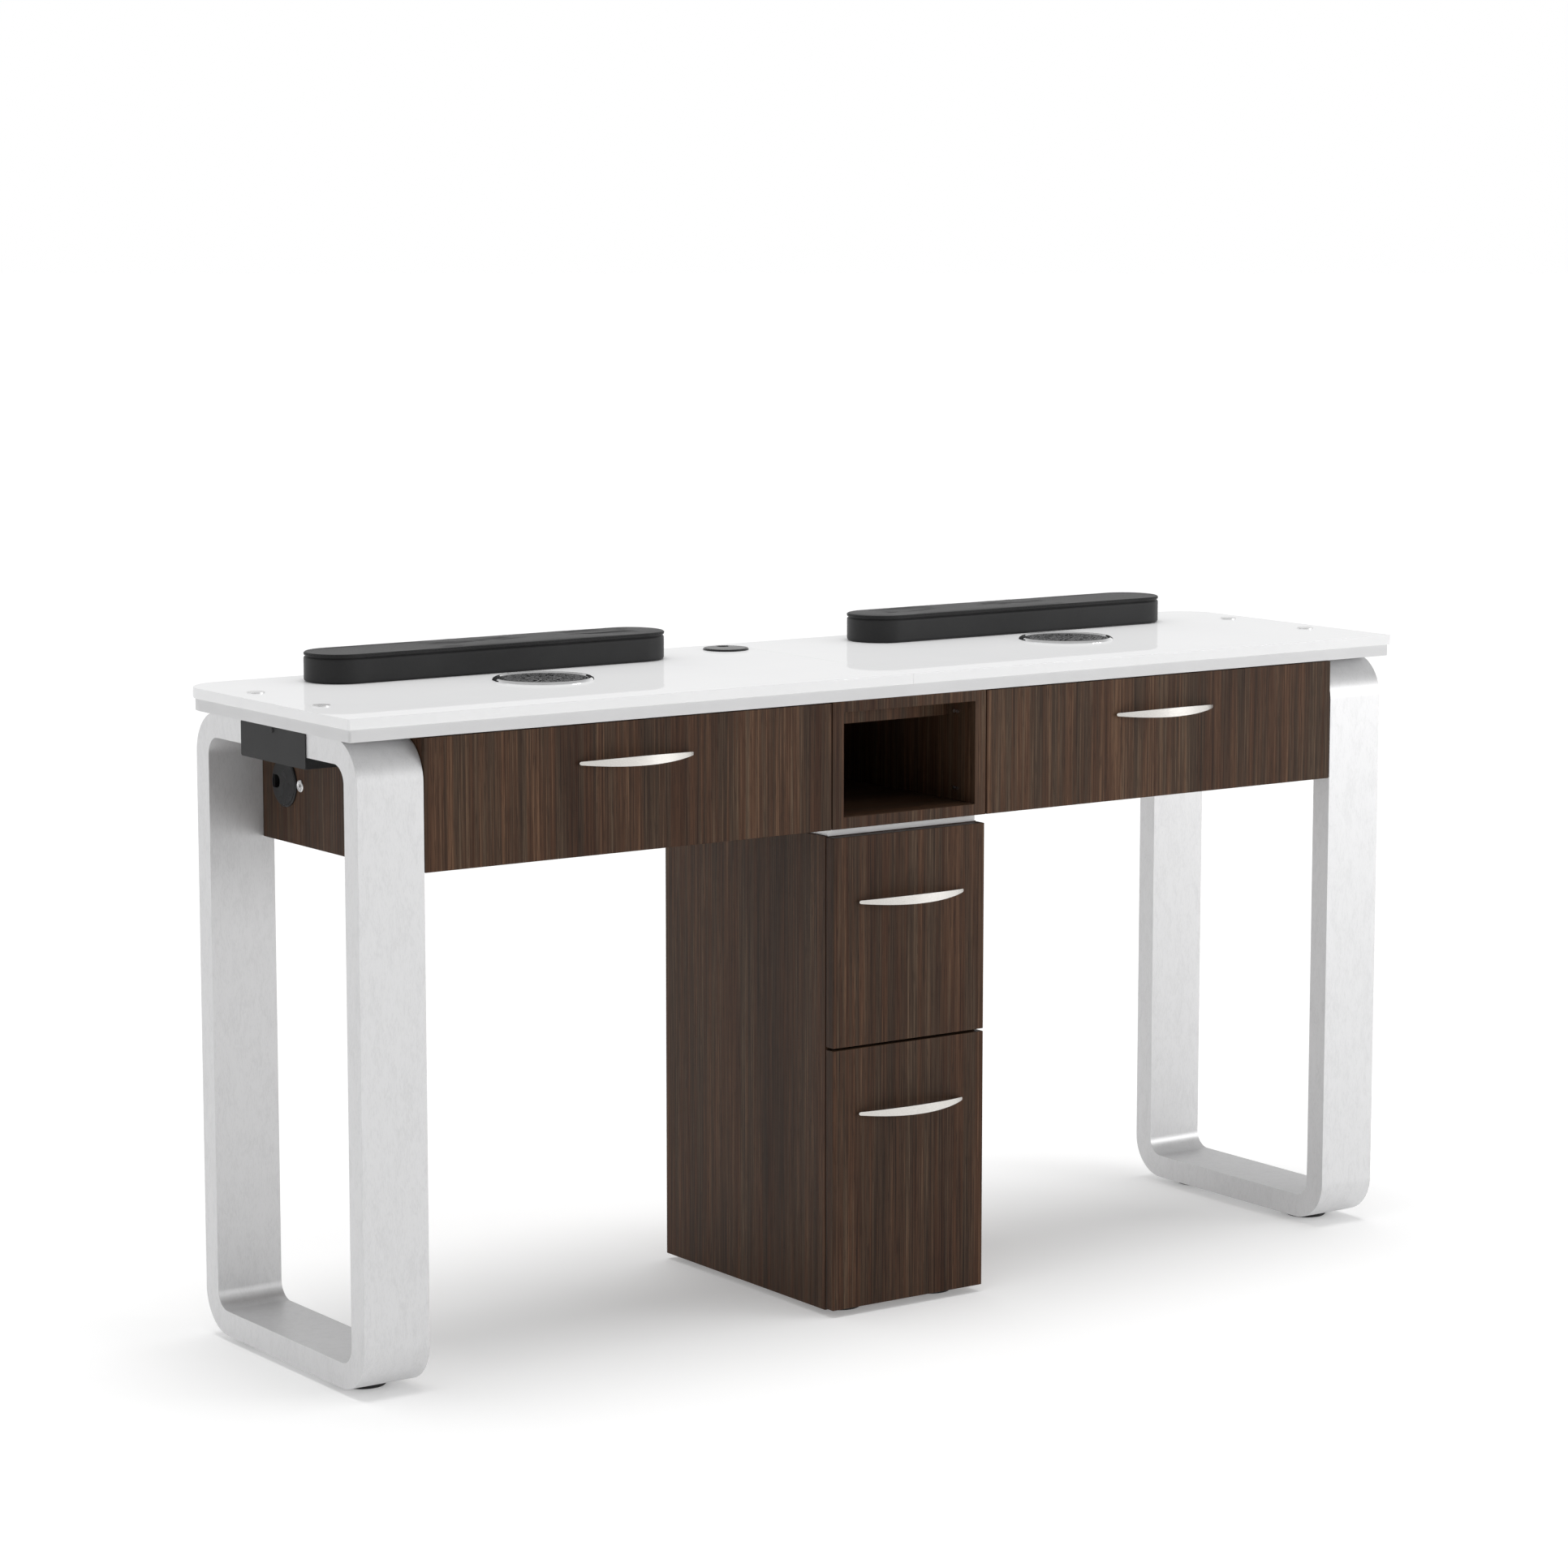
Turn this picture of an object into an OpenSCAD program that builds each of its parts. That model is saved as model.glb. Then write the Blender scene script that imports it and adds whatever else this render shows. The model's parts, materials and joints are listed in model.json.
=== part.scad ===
// Double manicure table: a two-piece stone top on two tubular ring legs, with a drawer on
// each side of an open cubby, a two-drawer pedestal, two dust vents and two arm-rest pads.
// Millimetres, +Z up. X runs along the length and the drawers open towards -Y. The origin is
// on the floor, under the middle of the space that the table takes up.

/* [Top] */
// Length of the top
top_len = 1504; // [1496:1:1560]
// Depth of the top
top_depth = 394; // [390:1:420]
// Height of the top above the floor
top_height = 756; // [734:1:784]
// Thickness of the stone
slab_t = 12; // [10:1:16]
// Thickness of the board under the stone
board_t = 14; // [12:1:18]
// How far the board stands back from the edge of the stone
board_inset = 2.5; // [1:0.5:6]
// Corner radius of the top at the front
front_corner_r = 3; // [2:0.5:8]
// Corner radius of the top at the back
back_corner_r = 50; // [20:1:60]
// How far the top overhangs the drawer fronts
front_overhang = 6; // [4:1:12]

/* [Ring legs] */
// Width of the leg band along the table
leg_w = 82.5; // [76:0.5:90]
// Thickness of the leg band
leg_t = 29; // [25:1:34]
// Depth of a ring from front to back
leg_depth = 369; // [360:1:372]
// How far each ring stands in from the end of the top
leg_inset = 13; // [10:1:20]
// Outer corner radius of the ring
leg_corner_r = 50; // [45:1:60]
// Wall of the tube
leg_wall = 2; // [1.5:0.5:3]

/* [Feet] */
// Radius of a foot
foot_r = 27; // [20:1:28]
// Height of a foot
foot_h = 7; // [6:1:14]

/* [Cabinets] */
// Height of the row of drawers under the top
apron_h = 149.5; // [140:0.5:160]
// Half the width of the open cubby, outside
cubby_half = 111.5; // [100:0.5:120]
// Thickness of the cabinet panels
panel_t = 16; // [15:1:18]
// How far each end panel reaches out into its ring leg
end_reach = 15; // [8:1:18]
// Thickness of the floor panel and of the rails round the cubby
floor_t = 13.5; // [12:0.5:16]
// Thickness of the drawer fronts
front_t = 15; // [14:0.5:18]
// Shadow gap round and behind the drawer fronts
front_gap = 1.5; // [1:0.25:3]
// Half the width of the pedestal
ped_half = 110; // [104:1:111]
// Depth of the pedestal
ped_depth = 353; // [340:1:360]
// Height of the spacer between the pedestal and the cabinets above
spacer_h = 9.5; // [8:0.5:14]
// Height of the gap between the two pedestal drawer fronts
ped_split_z = 321; // [304:1:334]

/* [Drawers] */
// Length of the runners of the drawers under the top
wide_runner = 250; // [220:5:255]
// Length of the runners of the pedestal drawers
deep_runner = 300; // [280:5:310]
// Thickness of the runners on each side of a drawer
runner_gap = 12.7; // [12.7:0.1:14]
// Thickness of the folded sheet of a drawer tray
tray_t = 1.5; // [1.2:0.1:2]
// Length of a pull from tip to tip
pull_len = 152; // [140:1:160]
// How far a pull stands out
pull_reach = 25; // [20:1:28]
// Height of a pull at its middle
pull_h = 10.8; // [9:0.2:14]

/* [Vents] */
// Distance of each vent from the middle of the table
vent_x = 384.5; // [370:0.5:400]
// Radius of the chrome vent ring
vent_r = 59; // [58.5:0.5:62]
// Radius of the duct through the top
duct_r = 52; // [51.8:0.1:53]
// Side of the square fan frame
fan_side = 120; // [116:1:121]
// Height of the fan frame
fan_h = 38; // [30:1:38]
// Number of fan blades
blades = 7; // [5:1:9]

/* [Arm-rest pads] */
// Length of a pad
pad_len = 480; // [440:1:490]
// Width of a pad
pad_w = 86; // [80:1:92]
// Height of a pad
pad_h = 35; // [30:0.5:40]
// Gap between a pad and the back edge of the top
pad_back_gap = 28.5; // [24:0.5:34]
// How far both pads sit to the right of their vents
pad_shift = 2; // [-5:0.5:5]

/* [Cable grommets] */
// Radius of the hole for a cable
grommet_r = 25; // [24:0.5:26]
// Radius of the flange round it
flange_r = 28; // [27.5:0.5:30]

/* [Hidden] */
$fn = 64;
EPS = 0.01;
LEFT = -1;
RIGHT = 1;

// Places along Y. The middle of the top lies behind the origin by half of what the pulls add.
mid_y = (pull_reach - front_overhang) / 2;
top_front_y = mid_y - top_depth / 2;
top_back_y = mid_y + top_depth / 2;
front_y = top_front_y + front_overhang;
carcass_y = front_y + front_t + front_gap;
leg_back_y = front_y + leg_depth;
leg_mid_y = front_y + leg_depth / 2;
ped_back_y = front_y + ped_depth;

// Places along X
leg_out_x = top_len / 2 - leg_inset;
leg_in_x = leg_out_x - leg_w;
leg_mid_x = leg_out_x - leg_w / 2;
apron_x = leg_in_x - 1;
bay_out_x = apron_x - panel_t;
end_face_x = apron_x + end_reach;
bay_in_x = cubby_half;
cubby_in_x = cubby_half - panel_t;
ped_in_x = ped_half - panel_t;

// Heights
slab_z = top_height - slab_t;
board_z = slab_z - board_t;
apron_z = board_z - apron_h;
bay_z = apron_z + floor_t;
ped_z = foot_h;
ped_top_z = apron_z - spacer_h;

// Bolts that hold the top to the legs
bolt_x = top_len / 2 - 35.5;
bolt_dy = 75;
bolt_r = 4;
bolt_hole_r = 4.3;
head_r = 6.5;
sink_r = 8;
sink_z = slab_z + 4;
cap_r = 10;

// Cable grommets: one in the top near its back edge, one in the left end panel
grommet_x = -32;
grommet_y = top_back_y - 53;
grommet_len = slab_t + board_t;
side_grommet_y = front_y + 286;
side_grommet_z = apron_z + 68;
side_bolt_y = side_grommet_y - 36;
side_bolt_r = 3;
block_gap = 0.5;

// Wiring box under the upper bar of the left leg
box_len = 147;
box_in_x = end_face_x + 0.5;
box_mid_y = leg_mid_y;
box_z = board_z - 42;
box_sheet = 1.2;
cover_h = 40.4;
cover_t = 1.6;
cover_len = 148;
screw_drop = 4.5;

// Drawer heights and runner heights
wide_tray_h = 80;
wide_tray_z = bay_z + 5;
wide_tray_len = wide_runner + 18;
wide_rail_z = wide_tray_z + 40;
wide_pull_z = board_z - 44.3;
deep_tray_len = deep_runner + 12;
lower_tray_z = ped_z + panel_t + 8;
lower_tray_h = 230;
upper_tray_z = ped_split_z + 10;
upper_tray_h = 190;
lower_front_z = ped_z + 2;
upper_front_z = ped_split_z + front_gap;
ped_front_top_z = ped_top_z - 0.5;
rail_h = 35;
runner_h = 26;
rail_setback = 4;

// Centre and width of the bay behind each drawer: [middle x, width]
left_bay = [-(bay_in_x + bay_out_x) / 2, bay_out_x - bay_in_x];
right_bay = [(bay_in_x + bay_out_x) / 2, bay_out_x - bay_in_x];
ped_bay = [0, 2 * ped_in_x];

// Outline of a rectangle with round corners, made of true arcs
module round_rect(w, h, r) {
    square([w - 2 * r, h], center = true);
    square([w, h - 2 * r], center = true);
    for (x = [-1, 1], y = [-1, 1])
        translate([x * (w / 2 - r), y * (h / 2 - r)])
            circle(r);
}

// A board between two opposite corners
module board(low, high) {
    translate(low)
        cube(high - low);
}

// The outline of the right half of the top, with a small front and a large back corner
module half_top(inset) {
    x1 = top_len / 2 - inset;
    y0 = top_front_y + inset;
    y1 = top_back_y - inset;
    rf = front_corner_r;
    rb = back_corner_r - inset;
    translate([0, y0 + rf])
        square([x1, y1 - rb - y0 - rf]);
    translate([0, y0])
        square([x1 - rf, rf]);
    translate([0, y1 - rb])
        square([x1 - rb, rb]);
    translate([x1 - rf, y0 + rf])
        circle(rf);
    translate([x1 - rb, y1 - rb])
        circle(rb);
}

// The vent duct and the bolt holes of one end of the top
module end_holes(z, h, hole_r) {
    translate([vent_x, mid_y, z])
        cylinder(h = h, r = duct_r);
    for (side = [-1, 1])
        translate([bolt_x, mid_y + side * bolt_dy, z])
            cylinder(h = h, r = hole_r);
}

module slab(side) {
    color("white")
        difference() {
            scale_x(side)
                difference() {
                    translate([0, 0, slab_z])
                        linear_extrude(slab_t)
                            half_top(0);
                    end_holes(slab_z - 1, slab_t + 2, bolt_hole_r);
                    for (end = [-1, 1])
                        translate([bolt_x, mid_y + end * bolt_dy, sink_z])
                            cylinder(h = slab_t, r = sink_r);
                }
            if (side == LEFT)
                translate([grommet_x, grommet_y, slab_z - 1])
                    cylinder(h = slab_t + 2, r = grommet_r);
        }
}

// The same shape on the right, or mirrored for the left
module scale_x(side) {
    if (side == LEFT)
        mirror([1, 0, 0])
            children();
    else
        children();
}

module top_board() {
    color("gainsboro")
        difference() {
            for (side = [LEFT, RIGHT])
                scale_x(side)
                    difference() {
                        translate([0, 0, board_z])
                            linear_extrude(board_t)
                                half_top(board_inset);
                        end_holes(board_z - 1, board_t + 2, bolt_hole_r);
                    }
            translate([grommet_x, grommet_y, board_z - 1])
                cylinder(h = board_t + 2, r = grommet_r);
        }
}

// Four bolts, each through the stone and the board into the upper wall of a leg
module top_bolts() {
    color("silver")
        for (side = [-1, 1], end = [-1, 1])
            translate([side * bolt_x, mid_y + end * bolt_dy, 0]) {
                translate([0, 0, sink_z])
                    cylinder(h = 4.5, r = head_r);
                translate([0, 0, board_z - leg_wall - 12])
                    cylinder(h = sink_z - board_z + leg_wall + 12 + EPS, r = bolt_r);
            }
}

module bolt_caps() {
    color("lightgray")
        for (side = [-1, 1], end = [-1, 1])
            translate([side * bolt_x, mid_y + end * bolt_dy, 0]) {
                translate([0, 0, top_height])
                    cylinder(h = 1.2, r = cap_r);
                translate([0, 0, top_height - 3])
                    cylinder(h = 3 + EPS, r = sink_r - 0.2);
            }
}

module pad(side) {
    color("dimgray")
        translate([side * vent_x + pad_shift, top_back_y - pad_back_gap - pad_w / 2, top_height])
            linear_extrude(pad_h) {
                square([pad_len - pad_w, pad_w], center = true);
                for (end = [-1, 1])
                    translate([end * (pad_len - pad_w) / 2, 0])
                        circle(pad_w / 2);
            }
}

// Chrome ring with a sleeve that lines the duct and carries the filter on its lower lip
module vent_ring(side) {
    sleeve_r = duct_r - 0.5;
    z0 = board_z + 2;
    color("silver")
        translate([side * vent_x, mid_y, 0])
            rotate_extrude()
                polygon([
                    [53, top_height + 2], [53.8, top_height + 3.2], [56, top_height + 3.2],
                    [58.2, top_height + 2], [vent_r, top_height + 0.6], [vent_r, top_height],
                    [sleeve_r, top_height], [sleeve_r, z0], [44, z0], [44, z0 + 1.5],
                    [48.5, z0 + 1.5], [48.5, top_height + 0.6], [53, top_height + 0.6]
                ]);
}

// Grille disc with three rows of slots
module vent_grille(side) {
    color("darkslategray")
        translate([side * vent_x, mid_y, top_height + 0.6])
            difference() {
                cylinder(h = 1.4, r = 52.7);
                for (row = [0:2], i = [0:11])
                    rotate((i + row / 2) * 30)
                        translate([13 + row * 12, 0, -1])
                            linear_extrude(5)
                                round_rect(9, 4 + row * 2, 1.9);
            }
}

module dust_filter(side) {
    color("slategray")
        translate([side * vent_x, mid_y, board_z + 3.5])
            cylinder(h = 12, r = 48.2);
}

// Square fan frame with a round air way, four struts and the post that the rotor turns on
module fan_frame(side) {
    post_r = 2.5;
    color("black")
        translate([side * vent_x, mid_y, board_z - fan_h]) {
            difference() {
                linear_extrude(fan_h)
                    round_rect(fan_side, fan_side, 8);
                translate([0, 0, -1])
                    cylinder(h = fan_h + 2, r = 57);
            }
            for (turn = [0, 90])
                rotate(turn + 45)
                    translate([-57.5, -3, 0])
                        cube([115, 6, 3]);
            cylinder(h = 4, r = 20);
            cylinder(h = fan_h - 8, r = post_r);
        }
}

// Hub cup on the post with pitched flat blades
module fan_rotor(side) {
    hub_z = board_z - fan_h + 6;
    color("gray")
        translate([side * vent_x, mid_y, hub_z]) {
            difference() {
                cylinder(h = 22, r = 20);
                translate([0, 0, -1])
                    cylinder(h = 19, r = 17);
                translate([0, 0, -1])
                    cylinder(h = 30, r = 2.55);
            }
            difference() {
                cylinder(h = 20, r = 5);
                translate([0, 0, -1])
                    cylinder(h = 30, r = 2.55);
            }
            for (i = [0:blades - 1])
                rotate(i * 360 / blades)
                    translate([19, 0, 11])
                        rotate([40, 0, 0])
                            translate([0, -12, -1])
                                cube([35, 24, 2]);
        }
}

// Sleeve of a cable grommet about +Z, with its flange on z = 0 and the sleeve of length len
module grommet_sleeve(len) {
    color("black")
        rotate_extrude()
            polygon([
                [23.2, -len], [grommet_r - 0.3, -len], [grommet_r - 0.3, 0], [flange_r, 0],
                [flange_r, 1.2], [flange_r - 1, 2.2], [25.6, 2.2], [25.6, 1], [23.2, 1]
            ]);
}

// Cap that turns in the sleeve, with a notch that the cable comes out of
module grommet_cap() {
    notch_r = 7.5;
    color("dimgray")
        difference() {
            union() {
                translate([0, 0, 1.2])
                    cylinder(h = 1.2, r = 25.3);
                translate([0, 0, -6])
                    cylinder(h = 8, r = 22.8);
            }
            translate([0, 0, -7])
                cylinder(h = 7.8, r = 21);
            translate([0, 16, -7])
                cylinder(h = 13, r = notch_r);
            translate([-notch_r, 16, -7])
                cube([2 * notch_r, 12, 13]);
        }
}

module top_grommet() {
    translate([grommet_x, grommet_y, top_height])
        grommet_sleeve(grommet_len);
}

module top_grommet_cap() {
    translate([grommet_x, grommet_y, top_height])
        rotate(-21)
            grommet_cap();
}

module side_grommet() {
    translate([-end_face_x, side_grommet_y, side_grommet_z])
        rotate([0, -90, 0])
            grommet_sleeve(grommet_len);
}

module side_grommet_cap() {
    translate([-end_face_x, side_grommet_y, side_grommet_z])
        rotate([0, -90, 0])
            grommet_cap();
}

// Closed hollow ring of rectangular tube that stands on edge, with holes for bolts and feet
module leg_ring(side) {
    h = board_z - foot_h;
    r_in = leg_corner_r - leg_t;
    translate([side * leg_mid_x, leg_mid_y, foot_h + h / 2])
        color("silver")
            difference() {
                rotate([90, 0, 90])
                    linear_extrude(leg_w, center = true)
                        difference() {
                            round_rect(leg_depth, h, leg_corner_r);
                            round_rect(leg_depth - 2 * leg_t, h - 2 * leg_t, r_in);
                        }
                rotate([90, 0, 90])
                    linear_extrude(leg_w - 2 * leg_wall, center = true)
                        difference() {
                            round_rect(leg_depth - 2 * leg_wall, h - 2 * leg_wall,
                                leg_corner_r - leg_wall);
                            round_rect(leg_depth - 2 * leg_t + 2 * leg_wall,
                                h - 2 * leg_t + 2 * leg_wall, r_in + leg_wall);
                        }
                for (end = [-1, 1]) {
                    translate([side * (bolt_x - leg_mid_x), mid_y - leg_mid_y + end * bolt_dy,
                            h / 2 - leg_wall - 1])
                        cylinder(h = leg_wall + 2, r = bolt_r + 0.05);
                    translate([0, end * ring_foot_y, -h / 2 - 1])
                        cylinder(h = leg_wall + 2, r = stem_r + 0.1);
                }
            }
}

stem_r = 4;

// A rubber foot under z = 0 with the stem that screws into what stands on it
module foot() {
    rotate_extrude()
        polygon([
            [0, -foot_h], [foot_r - 2.5, -foot_h], [foot_r - 1, -foot_h + 1.5], [foot_r, -1],
            [foot_r, 0], [stem_r, 0], [stem_r, 9], [0, 9]
        ]);
}

ring_foot_y = 108;
ped_foot_x = 67;
ped_foot_in = 47;

module feet() {
    color("black")
        translate([0, 0, foot_h]) {
            for (side = [-1, 1], end = [-1, 1])
                translate([side * leg_mid_x, leg_mid_y + end * ring_foot_y])
                    foot();
            for (side = [-1, 1], y = [front_y + ped_foot_in, ped_back_y - ped_foot_in])
                translate([side * ped_foot_x, y])
                    foot();
        }
}

// Folded tray under the leg's upper bar, open towards the cover and towards the bar
module wiring_box() {
    z1 = board_z - leg_t;
    color("dimgray")
        difference() {
            board([-leg_out_x, box_mid_y - box_len / 2, box_z],
                [-box_in_x, box_mid_y + box_len / 2, z1]);
            board([-leg_out_x - 1, box_mid_y - box_len / 2 + box_sheet, box_z + box_sheet],
                [-box_in_x - box_sheet, box_mid_y + box_len / 2 - box_sheet, z1 + 1]);
        }
}

module wiring_box_cover() {
    r = 3;
    color("dimgray")
        translate([-leg_out_x - cover_t, box_mid_y, box_z + cover_h / 2])
            rotate([90, 0, 90])
                linear_extrude(cover_t)
                    difference() {
                        round_rect(cover_len, cover_h, r);
                        translate([0, cover_h / 2 - screw_drop])
                            circle(1.9);
                    }
}

module cover_screw() {
    color("gray")
        translate([-leg_out_x - cover_t, box_mid_y, box_z + cover_h - screw_drop])
            rotate([0, -90, 0])
                rotate_extrude()
                    polygon([
                        [0, -cover_t], [1.8, -cover_t], [1.8, 0], [3.2, 0], [2.6, 1.4], [0, 1.6]
                    ]);
}

// Outline of the block that fills the upper part of a ring, with its lower edge on y = 0
module end_block_outline() {
    len = leg_depth - 2 * leg_t - 2 * block_gap;
    h = board_z - leg_t - block_gap - apron_z;
    intersection() {
        round_rect(len, 2 * h, leg_corner_r - leg_t + block_gap);
        translate([-len / 2, 0])
            square([len, h]);
    }
}

// End panel with the block that reaches out into the ring leg
module end_panel(side) {
    color("saddlebrown")
        scale_x(side)
            difference() {
                union() {
                    board([bay_out_x, carcass_y, apron_z], [apron_x, leg_back_y, board_z]);
                    translate([apron_x - EPS, leg_mid_y, apron_z])
                        rotate([90, 0, 90])
                            linear_extrude(end_reach + EPS)
                                end_block_outline();
                }
                if (side == LEFT) {
                    translate([bay_out_x - 1, side_grommet_y, side_grommet_z])
                        rotate([0, 90, 0])
                            cylinder(h = panel_t + end_reach + 2, r = grommet_r);
                    translate([bay_out_x - 1, side_bolt_y, side_grommet_z])
                        rotate([0, 90, 0])
                            cylinder(h = panel_t + end_reach + 2, r = side_bolt_r + 0.2);
                }
            }
}

// Back panel with rows of outlet slots for the air of each fan
module back_panel() {
    color("saddlebrown")
        difference() {
            board([-bay_out_x, leg_back_y - panel_t, bay_z], [bay_out_x, leg_back_y, board_z]);
            for (side = [-1, 1], column = [-3:3], row = [0:2])
                translate([side * vent_x + column * 22, leg_back_y + 1, board_z - 22 - row * 14])
                    rotate([90, 0, 0])
                        linear_extrude(panel_t + 2)
                            round_rect(16, 5, 2.4);
        }
}

module floor_panel() {
    color("saddlebrown")
        board([-bay_out_x, carcass_y, apron_z], [bay_out_x, leg_back_y, bay_z]);
}

// Face frame of the cubby, flush with the drawer fronts
module cubby_frame() {
    color("saddlebrown")
        difference() {
            board([-cubby_half, front_y, apron_z], [cubby_half, carcass_y, board_z]);
            board([-cubby_in_x, front_y - 1, bay_z], [cubby_in_x, carcass_y + 1, board_z - floor_t]);
        }
}

module cubby_side(side) {
    color("saddlebrown")
        scale_x(side)
            board([cubby_in_x, carcass_y, bay_z], [cubby_half, leg_back_y - panel_t, board_z]);
}

// Upper rail of the cubby, set back behind its face frame
module cubby_rail() {
    color("saddlebrown")
        board([-cubby_in_x, carcass_y + 37, board_z - 35],
            [cubby_in_x, carcass_y + 37 + panel_t, board_z]);
}

// Connector screws in pairs near the front of both cubby walls
module cubby_screws() {
    color("silver")
        for (side = [-1, 1], z = [bay_z + 15, board_z - 29], dy = [0, 6])
            translate([side * cubby_in_x, carcass_y + 18 + dy, z])
                rotate([0, -side * 90, 0])
                    cylinder(h = 1, r = 2.2);
}

// Flat-headed socket bolt beside the grommet, with a raised rim
module side_bolt() {
    len = panel_t + end_reach;
    color("silver")
        translate([-end_face_x, side_bolt_y, side_grommet_z])
            rotate([0, -90, 0])
                difference() {
                    rotate_extrude()
                        polygon([
                            [0, -len], [side_bolt_r, -len], [side_bolt_r, 0], [7, 0], [7, 0.8],
                            [6.4, 1.5], [5.4, 1.5], [4.8, 0.9], [0, 0.9]
                        ]);
                    translate([0, 0, -2])
                        cylinder(h = 3, r = 2, $fn = 6);
                }
}

module ped_side(side) {
    color("saddlebrown")
        scale_x(side)
            board([ped_in_x, carcass_y, ped_z], [ped_half, ped_back_y, ped_top_z]);
}

module ped_top() {
    color("saddlebrown")
        board([-ped_in_x, carcass_y, ped_top_z - panel_t], [ped_in_x, ped_back_y, ped_top_z]);
}

// Floor of the pedestal with the holes that the stems of its feet screw into
module ped_floor() {
    color("saddlebrown")
        difference() {
            board([-ped_in_x, carcass_y, ped_z], [ped_in_x, ped_back_y, ped_z + panel_t]);
            for (side = [-1, 1], y = [front_y + ped_foot_in, ped_back_y - ped_foot_in])
                translate([side * ped_foot_x, y, ped_z - 1])
                    cylinder(h = 11, r = stem_r + 0.1);
        }
}

module ped_back() {
    color("saddlebrown")
        board([-ped_in_x, ped_back_y - 9, ped_z + panel_t],
            [ped_in_x, ped_back_y, ped_top_z - panel_t]);
}

module spacer_plate() {
    color("gainsboro")
        board([-ped_half + 3, carcass_y - front_gap, ped_top_z],
            [ped_half - 3, ped_back_y - 4, apron_z]);
}

// Fixed outer rail, a channel that opens towards +X, along +Y from y = 0
module rail(len) {
    rotate([90, 0, 0])
        translate([0, 0, -len])
            linear_extrude(len)
                difference() {
                    translate([0, -rail_h / 2])
                        square([runner_gap - 2.2, rail_h]);
                    translate([1.5, -rail_h / 2 + 2])
                        square([runner_gap, rail_h - 4]);
                }
}

// Moving inner runner, a channel inside the rail that opens towards -X
module runner(len) {
    rotate([90, 0, 0])
        translate([0, 0, -len])
            linear_extrude(len)
                difference() {
                    translate([3.5, -runner_h / 2])
                        square([runner_gap - 3.5, runner_h]);
                    translate([2, -runner_h / 2 + 2])
                        square([runner_gap - 3.5, runner_h - 4]);
                }
}

// One piece on each side wall of a bay, facing inwards
module on_both_walls(bay, z) {
    for (side = [-1, 1])
        translate([bay[0] + side * bay[1] / 2, carcass_y + rail_setback, z])
            scale_x(-side)
                children();
}

module runner_rails() {
    color("silver") {
        for (bay = [left_bay, right_bay])
            on_both_walls(bay, wide_rail_z)
                rail(wide_runner);
        for (z = [lower_tray_z + 60, upper_tray_z + 60])
            on_both_walls(ped_bay, z)
                rail(deep_runner);
    }
}

module drawer_runners(bay, z, len) {
    color("silver")
        on_both_walls(bay, z)
            translate([0, -rail_setback - front_gap + 2, 0])
                runner(len);
}

// Folded steel tray, open at the top, that starts at the back of its drawer front
module drawer_tray(bay, z, h, len) {
    w = bay[1] - 2 * runner_gap;
    y0 = front_y + front_t;
    color("gainsboro")
        difference() {
            board([bay[0] - w / 2, y0, z], [bay[0] + w / 2, y0 + len, z + h]);
            board([bay[0] - w / 2 + tray_t, y0 + tray_t, z + tray_t],
                [bay[0] + w / 2 - tray_t, y0 + len - tray_t, z + h + 1]);
        }
}

module drawer_front(x0, x1, z0, z1) {
    color("saddlebrown")
        board([x0, front_y, z0], [x1, front_y + front_t, z1]);
}

// Radius of the arc through both tips of a chord and a point rise above its middle
function arc_r(chord, rise) = (chord * chord / 4 + rise * rise) / (2 * rise);

// Outline of a pull in front view: a lens with round ends
module pull_outline() {
    end_r = 2;
    end_x = pull_len / 2 - end_r;
    r = arc_r(2 * end_x, pull_h / 2 - end_r);
    intersection() {
        intersection_for(s = [-1, 1])
            translate([0, s * (r - pull_h / 2)])
                circle(r, $fn = 360);
        square([2 * end_x, pull_h], center = true);
    }
    for (s = [-1, 1])
        translate([s * end_x, 0])
            circle(end_r);
}

// Bow pull: thicker in its middle, with its ends clear of the drawer, on two screw posts
module drawer_pull(x, z) {
    end_stand = 4.5;
    out_r = arc_r(pull_len, pull_reach - end_stand);
    in_reach = pull_reach - 5;
    in_r = arc_r(pull_len, in_reach - 1.8);
    post_x = pull_len / 2 - 12;
    post_y = pull_reach - out_r + sqrt(out_r * out_r - post_x * post_x) - 2;
    color("silver")
        translate([x, front_y, z])
            rotate([0, 0, 180]) {
                intersection() {
                    translate([0, 0, -pull_h])
                        linear_extrude(2 * pull_h)
                            difference() {
                                translate([0, pull_reach - out_r])
                                    circle(out_r, $fn = 180);
                                translate([0, in_reach - in_r])
                                    circle(in_r, $fn = 180);
                            }
                    translate([0, pull_reach + 1, 0])
                        rotate([90, 0, 0])
                            linear_extrude(pull_reach + 2)
                                pull_outline();
                }
                for (s = [-1, 1])
                    translate([s * post_x, 0, 0])
                        rotate([-90, 0, 0])
                            cylinder(h = post_y, r = 2.2);
            }
}

slab(LEFT);  // slab_left
slab(RIGHT);  // slab_right
top_board();
top_bolts();
bolt_caps();
pad(LEFT);  // pad_left
pad(RIGHT);  // pad_right
vent_ring(LEFT);  // vent_ring_left
vent_ring(RIGHT);  // vent_ring_right
vent_grille(LEFT);  // vent_grille_left
vent_grille(RIGHT);  // vent_grille_right
dust_filter(LEFT);  // dust_filter_left
dust_filter(RIGHT);  // dust_filter_right
fan_frame(LEFT);  // fan_frame_left
fan_frame(RIGHT);  // fan_frame_right
fan_rotor(LEFT);  // fan_rotor_left
fan_rotor(RIGHT);  // fan_rotor_right
top_grommet();
top_grommet_cap();
side_grommet();
side_grommet_cap();
leg_ring(LEFT);  // leg_ring_left
leg_ring(RIGHT);  // leg_ring_right
feet();
wiring_box();
wiring_box_cover();
cover_screw();
end_panel(LEFT);  // end_panel_left
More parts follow.
